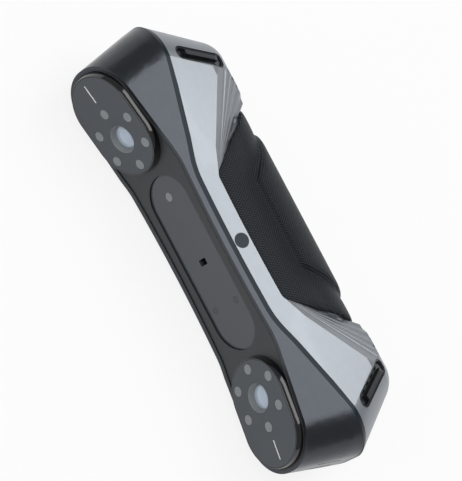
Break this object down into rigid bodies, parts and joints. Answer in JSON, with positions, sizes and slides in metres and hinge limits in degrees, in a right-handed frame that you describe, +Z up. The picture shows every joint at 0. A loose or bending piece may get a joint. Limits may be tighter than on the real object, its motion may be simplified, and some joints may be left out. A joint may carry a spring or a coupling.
{
  "type": "handheld three-d scanner",
  "caption": "Handheld three-d scanner: waisted housing with toed-in camera pods, a projector window between them, a sprung scan button, side vents and a tripod thread.",
  "frame": {"origin": "under the middle of the scanner as it lies on its left side, on the table", "axes": "+X along its length toward the lower end, -Y the way the cameras look, +Z up through its right side"},
  "size_m": [0.215, 0.0739, 0.05],
  "materials": {
    "alloy": "machined",
    "barrel_black": "black anodised",
    "bezel_metal": "satin gunmetal paint",
    "board_green": "solder mask",
    "brass_thread": "turned",
    "button_grey": "satin",
    "chrome_trim": "polished",
    "cone_grey": "matte",
    "grip_rubber": "woven texture",
    "index_white": "printed",
    "lens_glass": "coated",
    "light_window": "polished",
    "module_black": "matte",
    "plate_black": "fine satin",
    "plug_rubber": "moulded",
    "pod_gloss": "polished",
    "screw_steel": "plated",
    "seam_blue": "gloss",
    "sensor_window": "polished",
    "shell_silver": "silver satin paint",
    "smoked_glass": "polished",
    "smoked_window": "polished",
    "vent_black": "matte"
  },
  "bodies": {
    "housing": {"bench_screws": "screw_steel", "board_chips": "module_black", "board_screws": "screw_steel", "button_board": "board_green", "button_ring": "chrome_trim", "button_switch": "module_black", "camera_screws": "screw_steel", "case_screws": "screw_steel", "centre_window": "smoked_window", "colour_camera": "module_black", "colour_lens": "lens_glass", "fan_frame": "module_black", "front_bezel": "bezel_metal", "front_plate": "plate_black", "grip_sleeve": "grip_rubber", "heat_sink": "alloy", "laser_nozzle": "module_black", "laser_projector": "alloy", "lower_camera_board": "board_green", "lower_cover_glass": "smoked_glass", "lower_front_lens": "lens_glass", "lower_index_line": "index_white", "lower_left_vent_insert": "vent_black", "lower_lens_barrel": "barrel_black", "lower_lens_cone": "cone_grey", "lower_light_board": "board_green", "lower_light_windows": "light_window", "lower_pod_ring": "pod_gloss", "lower_right_vent_insert": "vent_black", "main_board": "board_green", "optical_bench": "alloy", "port_insert": "module_black", "range_sensors": "sensor_window", "rear_shell": "shell_silver", "seam_ring": "seam_blue", "thread_insert": "brass_thread", "upper_camera_board": "board_green", "upper_cover_glass": "smoked_glass", "upper_front_lens": "lens_glass", "upper_index_line": "index_white", "upper_left_vent_insert": "vent_black", "upper_lens_barrel": "barrel_black", "upper_lens_cone": "cone_grey", "upper_light_board": "board_green", "upper_light_windows": "light_window", "upper_pod_ring": "pod_gloss", "upper_right_vent_insert": "vent_black", "usb_socket": "screw_steel"},
    "push_button": {"scan_button": "button_grey"},
    "fan_wheel": {"fan_rotor": "module_black"},
    "plug": {"thread_plug": "plug_rubber"}
  },
  "joints": [
    {"name": "button_press", "type": "slide", "parent": "housing", "child": "push_button", "axis": [-0.2316, -0.9728, 0], "range_m": [0, 0.0009], "stiffness_N_per_m": 1500, "springref_m": -0.0005},
    {"name": "fan_spin", "type": "hinge", "parent": "housing", "child": "fan_wheel", "pos_m": [0.074, 0.012, 0.025], "axis": [1, 0, 0], "continuous": true},
    {"name": "plug_pull", "type": "slide", "parent": "housing", "child": "plug", "axis": [0, -0.2057, 0.9786], "range_m": [0, 0.03]}
  ]
}
